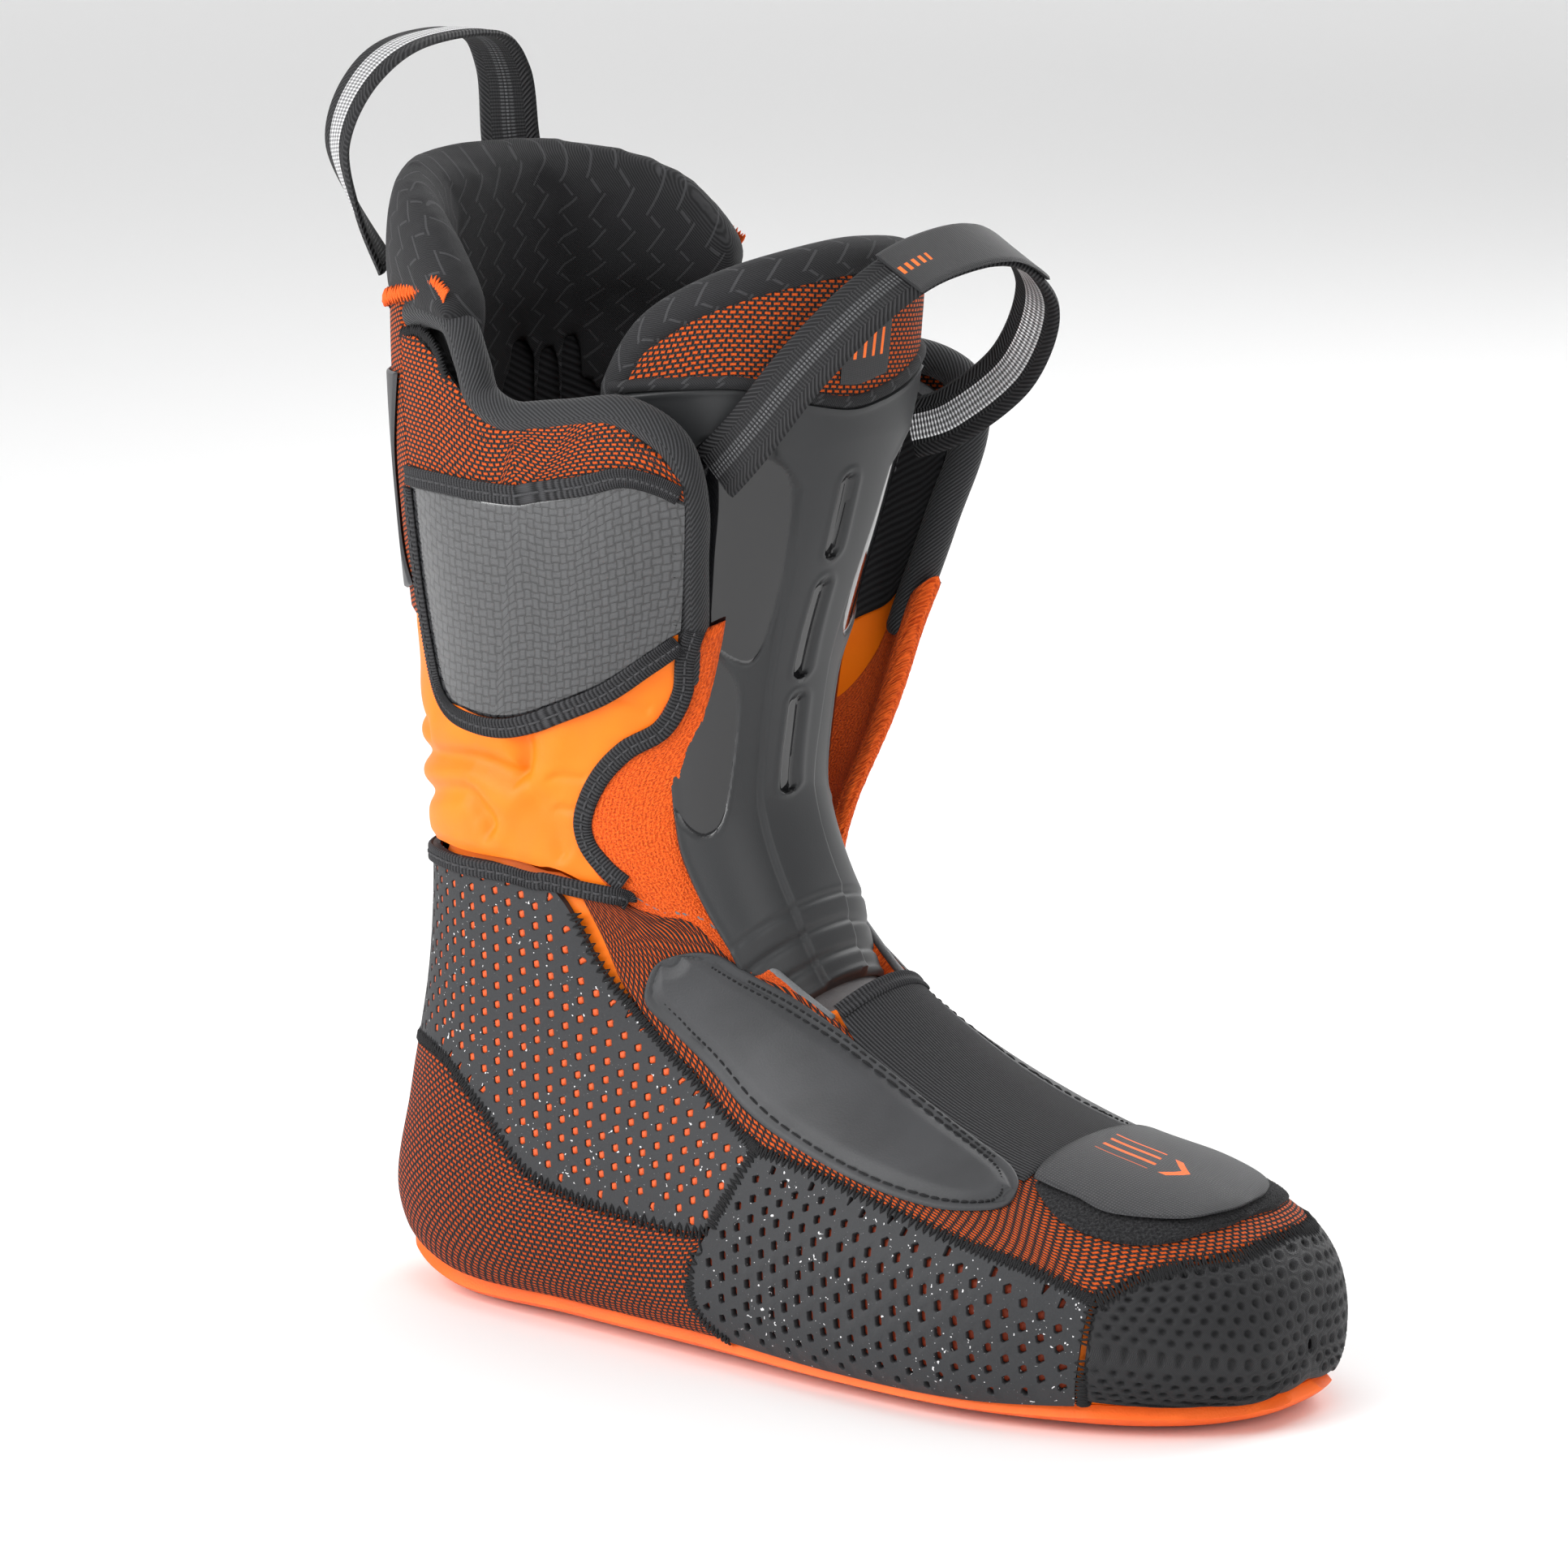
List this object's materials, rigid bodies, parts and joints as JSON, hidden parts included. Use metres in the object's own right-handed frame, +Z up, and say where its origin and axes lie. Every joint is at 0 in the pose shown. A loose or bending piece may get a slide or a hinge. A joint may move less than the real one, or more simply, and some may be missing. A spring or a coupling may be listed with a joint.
{
  "type": "ski boot liner",
  "caption": "Heat-mouldable inner boot of a ski touring boot, right foot, with hinged tongue, two opening cuff flaps, flexing ankle, pull loops and a lift-up toe flap.",
  "frame": {"origin": "centre of the bounding box's floor: the boot stands on its flat sole at z = 0", "axes": "+X towards the toe, +Z up along the leg, -Y towards the outer (little toe) side of a right foot"},
  "size_m": [0.3012, 0.139, 0.3491],
  "materials": {
    "orange_foam": "smooth moulded closed-cell foam",
    "sole_foam": "closed-cell foam, fine grain",
    "board": "felted fibre board",
    "grey_foam": "open foam under cloth",
    "knit": "black knit with orange dashes",
    "perforated_foam": "perforated recycled foam with pale specks",
    "honeycomb_mesh": "black three-dimensional mesh",
    "synthetic_leather": "dark grey, fine grain, top-stitched",
    "terry": "orange looped terry",
    "elastic": "ribbed elastic",
    "hook_and_loop": "loop pile",
    "edge_tape": "ribbed woven tape",
    "moulded_plastic": "satin moulded plastic",
    "twill": "fine twill with embossed dashes",
    "black_knit": "black diagonal knit",
    "composite": "clear-coated woven composite",
    "binding": "grey knit tube over foam",
    "label": "woven label",
    "webbing": "twill webbing with reflective stripes",
    "flap_textile": "coated woven textile with orange print"
  },
  "bodies": {
    "foot": {"outsole_foam": "sole_foam", "toe_foam_shell": "orange_foam", "heel_foam_shell": "orange_foam", "insole_board": "board", "footbed": "grey_foam", "heel_knit": "knit", "quarter_lateral": "perforated_foam", "quarter_medial": "perforated_foam", "forefoot_lateral": "perforated_foam", "forefoot_medial": "perforated_foam", "vamp_knit_front": "knit", "vamp_knit_lateral": "knit", "vamp_knit_medial": "knit", "toe_cap": "honeycomb_mesh", "eyestay_lateral": "synthetic_leather", "eyestay_medial": "synthetic_leather", "throat_lining_lateral": "terry", "throat_lining_medial": "terry", "instep_elastic": "elastic", "toe_loop_patch": "hook_and_loop", "ankle_tape": "edge_tape", "ankle_bellows": "orange_foam", "tongue_base": "grey_foam"},
    "cuff": {"ankle_foam": "orange_foam", "terry_wing_lateral": "terry", "terry_wing_medial": "terry", "edge_tape_lateral": "edge_tape", "edge_tape_medial": "edge_tape", "cuff_rear_foam": "grey_foam", "rear_knit": "knit", "spine_plate": "moulded_plastic", "cuff_rear_lining": "twill", "collar_pad": "twill"},
    "lateral_flap": {"flap_foam_lateral": "grey_foam", "flap_lining_lateral": "black_knit", "flap_plate_lateral": "composite", "flap_knit_lateral": "knit", "flap_binding_lateral": "binding", "flap_tape_upper_lateral": "edge_tape", "flap_tape_lower_lateral": "edge_tape"},
    "medial_flap": {"flap_foam_medial": "grey_foam", "flap_lining_medial": "black_knit", "flap_plate_medial": "composite", "flap_knit_medial": "knit", "flap_binding_medial": "binding", "flap_tape_upper_medial": "edge_tape", "flap_tape_lower_medial": "edge_tape"},
    "tongue": {"tongue_pad": "grey_foam", "tongue_shell": "moulded_plastic", "tongue_knit": "knit", "tongue_piping": "twill", "tongue_rim": "twill", "tongue_label": "label", "tongue_loop_tab_lateral": "edge_tape", "tongue_loop_tab_medial": "edge_tape"},
    "tongue_loop": {"tongue_loop_webbing": "webbing", "tongue_loop_sleeve": "label"},
    "rear_loop": {"rear_loop_webbing": "webbing"},
    "toe_flap": {"toe_flap": "flap_textile"}
  },
  "joints": [
    {"name": "cuff_flex", "type": "hinge", "parent": "foot", "child": "cuff", "pos_m": [-0.0667, -0.0063, 0.1], "axis": [0, 1, 0], "range_deg": [-4, 10], "stiffness_Nm_per_rad": 3, "deforming": ["ankle_bellows"]},
    {"name": "tongue_tilt", "type": "hinge", "parent": "foot", "child": "tongue", "pos_m": [0.0053, -0.0063, 0.116], "axis": [0, 1, 0], "range_deg": [-6, 25], "stiffness_Nm_per_rad": 0.6},
    {"name": "lateral_flap_open", "type": "hinge", "parent": "cuff", "child": "lateral_flap", "pos_m": [-0.0993, -0.0507, 0.1786], "axis": [0.054, 0.0676, -0.9963], "range_deg": [0, 28], "stiffness_Nm_per_rad": 0.4},
    {"name": "medial_flap_open", "type": "hinge", "parent": "cuff", "child": "medial_flap", "pos_m": [-0.0992, 0.0405, 0.1785], "axis": [-0.0545, 0.1292, 0.9901], "range_deg": [0, 28], "stiffness_Nm_per_rad": 0.4},
    {"name": "tongue_loop_swing", "type": "hinge", "parent": "tongue", "child": "tongue_loop", "pos_m": [-0.0031, -0.0033, 0.2451], "axis": [0, 1, 0], "range_deg": [0, 45], "stiffness_Nm_per_rad": 0.06},
    {"name": "rear_loop_swing", "type": "hinge", "parent": "cuff", "child": "rear_loop", "pos_m": [-0.1298, -0.0023, 0.2862], "axis": [0, -1, 0], "range_deg": [0, 70], "stiffness_Nm_per_rad": 0.06},
    {"name": "toe_flap_lift", "type": "hinge", "parent": "foot", "child": "toe_flap", "pos_m": [0.0867, -0.0062, 0.0695], "axis": [0, -1, 0], "range_deg": [0, 60], "stiffness_Nm_per_rad": 0.02}
  ]
}
